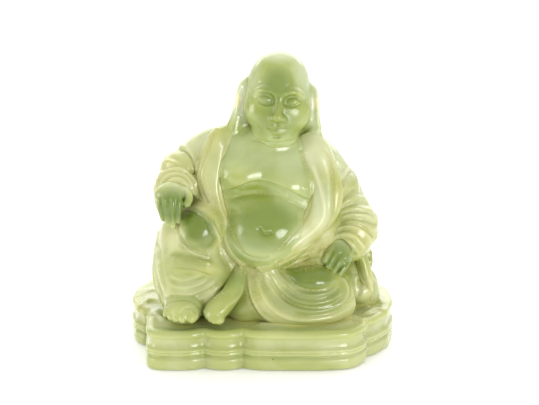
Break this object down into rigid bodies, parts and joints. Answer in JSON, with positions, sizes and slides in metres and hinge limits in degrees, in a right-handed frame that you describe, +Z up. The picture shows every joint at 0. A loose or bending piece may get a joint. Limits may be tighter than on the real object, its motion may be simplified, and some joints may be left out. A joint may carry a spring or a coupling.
{
  "type": "jade figurine",
  "caption": "Carved green stone figurine of a seated, robed, bald figure with long ears on a lobed moulded plinth.",
  "frame": {"origin": "centre of the plinth's underside, at the bottom centre of the whole figurine's box", "axes": "+Z up, the figure faces -Y, the figure's own left side lies at +X"},
  "size_m": [0.1334, 0.0952, 0.1495],
  "materials": {
    "jade_robe": "polished translucent celadon green stone, milky on the drapery",
    "jade_skin": "polished translucent apple green stone",
    "jade_plinth": "polished translucent celadon green stone, dusty in the hollows"
  },
  "bodies": {
    "root": {"plinth": "jade_plinth", "robe": "jade_robe", "skirt": "jade_robe", "right_lapel": "jade_robe", "left_lapel": "jade_robe", "right_sleeve": "jade_robe", "left_sleeve": "jade_robe", "right_cuff": "jade_robe", "left_cuff": "jade_robe", "right_trouser_leg": "jade_robe", "left_trouser_leg": "jade_robe", "sack": "jade_robe", "sack_tie": "jade_robe", "torso": "jade_skin", "head": "jade_skin", "right_ear": "jade_skin", "left_ear": "jade_skin", "right_hand": "jade_skin", "left_hand": "jade_skin", "right_foot": "jade_skin", "left_foot": "jade_skin"}
  },
  "joints": []
}
